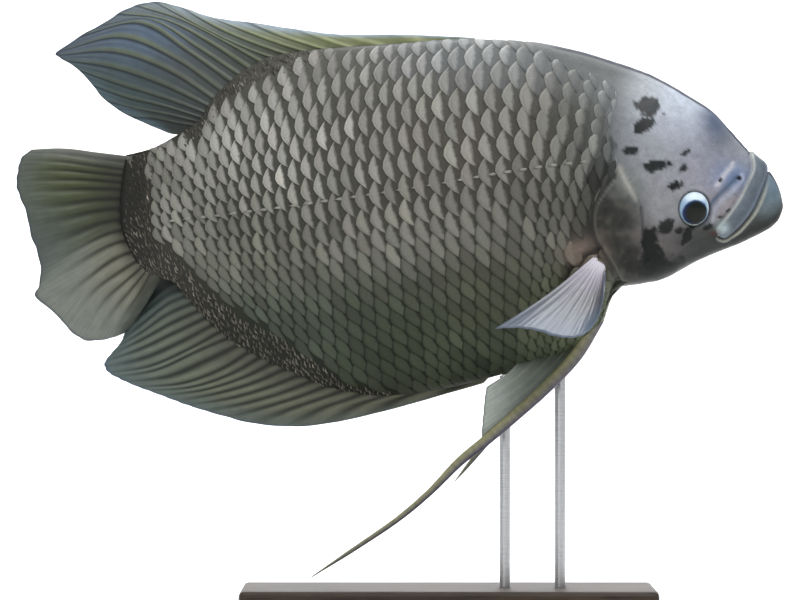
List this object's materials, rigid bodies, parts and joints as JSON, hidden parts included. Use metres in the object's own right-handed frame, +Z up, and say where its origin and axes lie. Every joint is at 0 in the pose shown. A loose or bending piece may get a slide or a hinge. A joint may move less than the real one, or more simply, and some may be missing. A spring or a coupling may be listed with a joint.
{
  "type": "giant gourami model",
  "caption": "Life-size museum model of a giant gourami, a deep-bodied swimming fish with threadlike pelvic fins, held over a flat base by rods for display.",
  "frame": {"origin": "floor level, under the middle of the whole model's length and width", "axes": "+X towards the fish's snout, +Y towards its left side, +Z up"},
  "size_m": [0.5562, 0.172, 0.4423],
  "materials": {
    "body_skin": "grey-olive scales with pale silvery centres, slightly wet gloss",
    "tail_skin": "dark olive scales, slightly wet gloss",
    "head_skin": "pale blue-grey skin with dark blotches, slightly wet gloss",
    "gill_cover_skin": "dark olive-grey scales, slightly wet gloss",
    "lip_skin": "smooth blue-grey skin",
    "eye": "high gloss, dark pupil in a pale ring",
    "fin_dorsal_skin": "blue-grey ribbed membrane, satin",
    "fin_anal_skin": "grey-olive ribbed membrane, satin",
    "fin_caudal_skin": "olive ribbed membrane, paler below, satin",
    "fin_pectoral_skin": "pale lilac-blue ribbed membrane, satin",
    "fin_pelvic_skin": "pale grey ribbed membrane and thread, satin",
    "stand_wood": "dark satin lacquer",
    "stand_steel": "brushed"
  },
  "bodies": {
    "root": {"head": "head_skin", "gill_cover_left": "gill_cover_skin", "gill_cover_right": "gill_cover_skin", "lip_upper": "lip_skin", "jaw_lower": "lip_skin", "eye_left": "eye", "eye_right": "eye", "torso": "body_skin", "tail_stem": "tail_skin", "fin_dorsal": "fin_dorsal_skin", "fin_anal": "fin_anal_skin", "fin_caudal": "fin_caudal_skin", "fin_pectoral_left": "fin_pectoral_skin", "fin_pectoral_right": "fin_pectoral_skin", "fin_pelvic_left": "fin_pelvic_skin", "fin_pelvic_right": "fin_pelvic_skin", "stand_base": "stand_wood", "stand_rod_front": "stand_steel", "stand_rod_rear": "stand_steel"}
  },
  "joints": []
}
